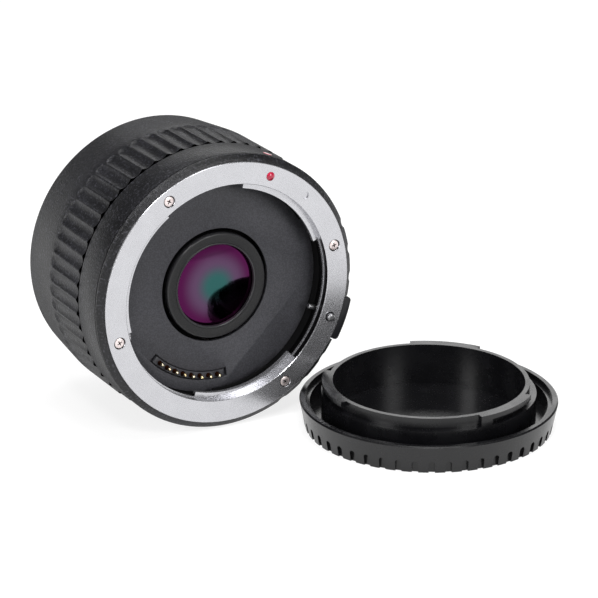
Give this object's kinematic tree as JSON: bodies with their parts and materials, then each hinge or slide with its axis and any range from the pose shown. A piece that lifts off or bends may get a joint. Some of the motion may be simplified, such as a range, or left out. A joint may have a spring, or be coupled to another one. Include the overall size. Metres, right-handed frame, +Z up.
{
  "type": "camera teleconverter",
  "caption": "Short round camera teleconverter with a female bayonet in front, a male bayonet behind, sprung contacts, a lens release button and its mount cap lying beside it.",
  "frame": {"origin": "centre of the front flange face, on the optical axis", "axes": "+Y along the optical axis from the front flange to the rear flange, +Z up as the part lies on its side"},
  "size_m": [0.1092, 0.0996, 0.069],
  "materials": {
    "mount_metal": "satin, fine turned",
    "screw_metal": "polished",
    "index_red": "gloss",
    "steel": "satin",
    "frame_alloy": "black anodised",
    "barrel_black": "fine matte paint",
    "baffle_black": "matte",
    "block_black": "matte",
    "contact_gold": "gold plated",
    "tube_black": "black anodised",
    "lens_glass": "multi-coated",
    "board_green": "satin",
    "cable_amber": "satin",
    "button_black": "satin",
    "cap_black": "semi gloss"
  },
  "bodies": {
    "barrel": {"front_mount_ring": "mount_metal", "front_mount_screws": "screw_metal", "index_dot": "index_red", "stop_peg": "steel", "bayonet_spring": "steel", "inner_frame": "frame_alloy", "front_band": "barrel_black", "band_index_mark": "index_red", "grip_shell": "barrel_black", "front_baffle": "baffle_black", "front_contact_block": "block_black", "lens_tube": "tube_black", "lens_bezel": "tube_black", "lens_1": "lens_glass", "lens_spacer_1": "tube_black", "lens_2": "lens_glass", "lens_3": "lens_glass", "lens_spacer_2": "tube_black", "lens_4": "lens_glass", "rear_retainer": "tube_black", "lens_tube_screws": "screw_metal", "circuit_board": "board_green", "control_chips": "block_black", "front_cable": "cable_amber", "rear_cable": "cable_amber", "rear_mount": "mount_metal", "rear_mount_screws": "screw_metal", "rear_baffle": "baffle_black", "rear_contact_block": "block_black", "rear_contact_pads": "contact_gold"},
    "release": {"release_button": "button_black", "release_slider": "steel", "lock_pin": "steel", "release_spring": "steel"},
    "contact_pin_1": {"contact_pin_1": "contact_gold"},
    "contact_pin_2": {"contact_pin_2": "contact_gold"},
    "contact_pin_3": {"contact_pin_3": "contact_gold"},
    "contact_pin_4": {"contact_pin_4": "contact_gold"},
    "contact_pin_5": {"contact_pin_5": "contact_gold"},
    "contact_pin_6": {"contact_pin_6": "contact_gold"},
    "contact_pin_7": {"contact_pin_7": "contact_gold"},
    "contact_pin_8": {"contact_pin_8": "contact_gold"},
    "cap": {"mount_cap": "cap_black"}
  },
  "joints": [
    {"name": "release_slide", "type": "slide", "parent": "barrel", "child": "release", "axis": [0, 1, 0], "range_m": [0, 0.0022], "stiffness_N_per_m": 600, "springref_m": -0.002},
    {"name": "contact_1_press", "type": "slide", "parent": "barrel", "child": "contact_pin_1", "axis": [0, 1, 0], "range_m": [0, 0.0012], "stiffness_N_per_m": 300, "springref_m": -0.0005},
    {"name": "contact_2_press", "type": "slide", "parent": "barrel", "child": "contact_pin_2", "axis": [0, 1, 0], "range_m": [0, 0.0012], "stiffness_N_per_m": 300, "springref_m": -0.0005},
    {"name": "contact_3_press", "type": "slide", "parent": "barrel", "child": "contact_pin_3", "axis": [0, 1, 0], "range_m": [0, 0.0012], "stiffness_N_per_m": 300, "springref_m": -0.0005},
    {"name": "contact_4_press", "type": "slide", "parent": "barrel", "child": "contact_pin_4", "axis": [0, 1, 0], "range_m": [0, 0.0012], "stiffness_N_per_m": 300, "springref_m": -0.0005},
    {"name": "contact_5_press", "type": "slide", "parent": "barrel", "child": "contact_pin_5", "axis": [0, 1, 0], "range_m": [0, 0.0012], "stiffness_N_per_m": 300, "springref_m": -0.0005},
    {"name": "contact_6_press", "type": "slide", "parent": "barrel", "child": "contact_pin_6", "axis": [0, 1, 0], "range_m": [0, 0.0012], "stiffness_N_per_m": 300, "springref_m": -0.0005},
    {"name": "contact_7_press", "type": "slide", "parent": "barrel", "child": "contact_pin_7", "axis": [0, 1, 0], "range_m": [0, 0.0012], "stiffness_N_per_m": 300, "springref_m": -0.0005},
    {"name": "contact_8_press", "type": "slide", "parent": "barrel", "child": "contact_pin_8", "axis": [0, 1, 0], "range_m": [0, 0.0012], "stiffness_N_per_m": 300, "springref_m": -0.0005},
    {"name": "cap_lift", "type": "slide", "parent": "barrel", "child": "cap", "axis": [0.5492, -0.5341, 0.6428], "range_m": [0, 0.06]}
  ]
}
